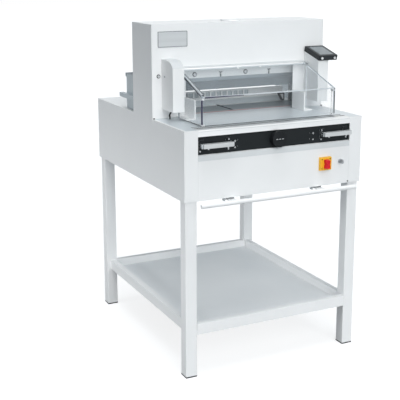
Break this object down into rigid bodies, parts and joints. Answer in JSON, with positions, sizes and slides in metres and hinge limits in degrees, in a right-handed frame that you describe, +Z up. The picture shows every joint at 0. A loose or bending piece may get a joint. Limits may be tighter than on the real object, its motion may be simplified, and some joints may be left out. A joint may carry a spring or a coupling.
{
  "type": "electric stack paper cutter",
  "caption": "Floor-standing electric guillotine for paper stacks: slanting knife, spindle clamp, motor-driven back gauge, hinged clear guard, tilted display, shelf stand.",
  "frame": {"origin": "on the floor, under the middle of the machine's overall box", "axes": "+Z up; the operator stands at -Y and looks along +Y; +X is the operator's right, where the display and the main switch are"},
  "size_m": [0.757, 0.9384, 1.2983],
  "materials": {
    "white_coat": "fine satin powder coat",
    "shelf_coat": "light grey satin powder coat",
    "gauge_coat": "grey satin coat",
    "table_steel": "polished steel",
    "sheet_steel": "grey rolled sheet",
    "blade_steel": "ground and polished",
    "casting": "dark painted casting",
    "aluminium": "fine brushed, anodised",
    "chrome": "bright plated",
    "black_panel": "fine grained black",
    "black_rubber": "matt black",
    "white_plastic": "satin white",
    "red_plastic": "glossy red",
    "red_stick": "cut and worn",
    "yellow_plastic": "satin yellow",
    "clear_sheet": "clear polycarbonate"
  },
  "bodies": {
    "root": {"leg_front_left": "white_coat", "leg_front_right": "white_coat", "leg_rear_left": "white_coat", "leg_rear_right": "white_coat", "foot_front_left": "black_rubber", "foot_front_right": "black_rubber", "foot_rear_left": "black_rubber", "foot_rear_right": "black_rubber", "shelf_tray": "shelf_coat", "side_panel_left": "white_coat", "side_panel_right": "white_coat", "chassis": "sheet_steel", "front_panel": "white_coat", "rear_panel": "white_coat", "control_panel": "black_panel", "front_nosing": "aluminium", "table_front": "table_steel", "table_rear": "white_coat", "cutting_stick": "red_stick", "housing_front": "white_coat", "housing_back": "white_coat", "top_cap": "white_coat", "post_left": "white_coat", "post_right": "white_coat", "post_lead": "black_rubber", "gate_frame": "casting", "rear_beam": "casting", "gearmotor": "casting", "side_lay_left": "white_coat", "side_lay_right": "white_coat", "rear_cheek_left": "sheet_steel", "rear_cheek_right": "sheet_steel", "rear_hood": "clear_sheet", "gauge_motor": "black_panel", "switch_plate": "yellow_plastic", "display_case": "black_panel", "activator_bracket_left": "chrome", "activator_bracket_right": "chrome"},
    "guard": {"guard_bar": "aluminium", "guard_front": "clear_sheet", "guard_top": "clear_sheet", "guard_side_left": "clear_sheet", "guard_side_right": "clear_sheet"},
    "knife_slider": {"knife_carrier": "sheet_steel", "knife": "blade_steel", "pull_rod": "table_steel"},
    "crank": {"crank_arm": "table_steel"},
    "clamp": {"clamp_bar": "casting"},
    "clamp_screw": {"clamp_spindle": "table_steel"},
    "back_gauge": {"gauge_face": "gauge_coat", "gauge_carriage": "casting"},
    "gauge_screw": {"gauge_spindle": "table_steel"},
    "knob": {"jog_knob": "black_panel"},
    "left_activator": {"activator_bar_left": "aluminium"},
    "right_activator": {"activator_bar_right": "aluminium"},
    "main_switch": {"switch_handle": "red_plastic"},
    "key_lock": {"key_switch": "chrome"},
    "left_button": {"display_button_left": "white_plastic"},
    "right_button": {"display_button_right": "white_plastic"},
    "hand_bar": {"clamping_bar": "white_coat"}
  },
  "joints": [
    {"name": "guard_swing", "type": "hinge", "parent": "root", "child": "guard", "pos_m": [0, -0.16275, 1.1235], "axis": [-1, 0, 0], "range_deg": [0, 62]},
    {"name": "knife_stroke", "type": "slide", "parent": "root", "child": "knife_slider", "axis": [-0.3424, 0, -0.9396], "range_m": [0, 0.13144]},
    {"name": "crank_turn", "type": "hinge", "parent": "root", "child": "crank", "pos_m": [0.2995, -0.08275, 0.81025], "axis": [0, -1, 0], "range_deg": [0, 180]},
    {"name": "clamp_travel", "type": "slide", "parent": "root", "child": "clamp", "axis": [0, 0, -1], "range_m": [0, 0.088]},
    {"name": "clamp_screw_turn", "type": "hinge", "parent": "root", "child": "clamp_screw", "pos_m": [0, -0.05625, 1.032], "axis": [0, 0, 1], "continuous": true},
    {"name": "gauge_travel", "type": "slide", "parent": "root", "child": "back_gauge", "axis": [0, 1, 0], "range_m": [-0.115, 0.303]},
    {"name": "gauge_screw_turn", "type": "hinge", "parent": "root", "child": "gauge_screw", "pos_m": [0, -0.06675, 0.899], "axis": [0, 1, 0], "continuous": true},
    {"name": "knob_turn", "type": "hinge", "parent": "root", "child": "knob", "pos_m": [0.004, -0.42075, 0.882], "axis": [0, 1, 0], "continuous": true},
    {"name": "left_activator_press", "type": "hinge", "parent": "root", "child": "left_activator", "pos_m": [-0.254, -0.43175, 0.883], "axis": [1, 0, 0], "range_deg": [0, 12], "stiffness_Nm_per_rad": 1, "springref_deg": -5.73},
    {"name": "right_activator_press", "type": "hinge", "parent": "root", "child": "right_activator", "pos_m": [0.254, -0.43175, 0.883], "axis": [1, 0, 0], "range_deg": [0, 12], "stiffness_Nm_per_rad": 1, "springref_deg": -5.73},
    {"name": "switch_turn", "type": "hinge", "parent": "root", "child": "main_switch", "pos_m": [0.2125, -0.43305, 0.767], "axis": [0, 1, 0], "range_deg": [0, 90]},
    {"name": "key_turn", "type": "hinge", "parent": "root", "child": "key_lock", "pos_m": [0.2835, -0.42075, 0.7695], "axis": [0, 1, 0], "range_deg": [0, 90]},
    {"name": "left_button_press", "type": "slide", "parent": "root", "child": "left_button", "axis": [0, 0.9646, 0.2639], "range_m": [0, 0.0015], "stiffness_N_per_m": 1500, "springref_m": -0.0005},
    {"name": "right_button_press", "type": "slide", "parent": "root", "child": "right_button", "axis": [0, 0.9646, 0.2639], "range_m": [0, 0.0015], "stiffness_N_per_m": 1500, "springref_m": -0.0005},
    {"name": "hand_bar_press", "type": "hinge", "parent": "root", "child": "hand_bar", "pos_m": [0, -0.39675, 0.6715], "axis": [1, 0, 0], "range_deg": [0, 12], "stiffness_Nm_per_rad": 6, "springref_deg": -17.19}
  ],
  "couplings": [
    {"joint": "crank_turn", "follows": "knife_stroke", "rad_per_m": 23.901},
    {"joint": "clamp_screw_turn", "follows": "clamp_travel", "rad_per_m": 285.6},
    {"joint": "gauge_screw_turn", "follows": "gauge_travel", "rad_per_m": 314.16}
  ]
}
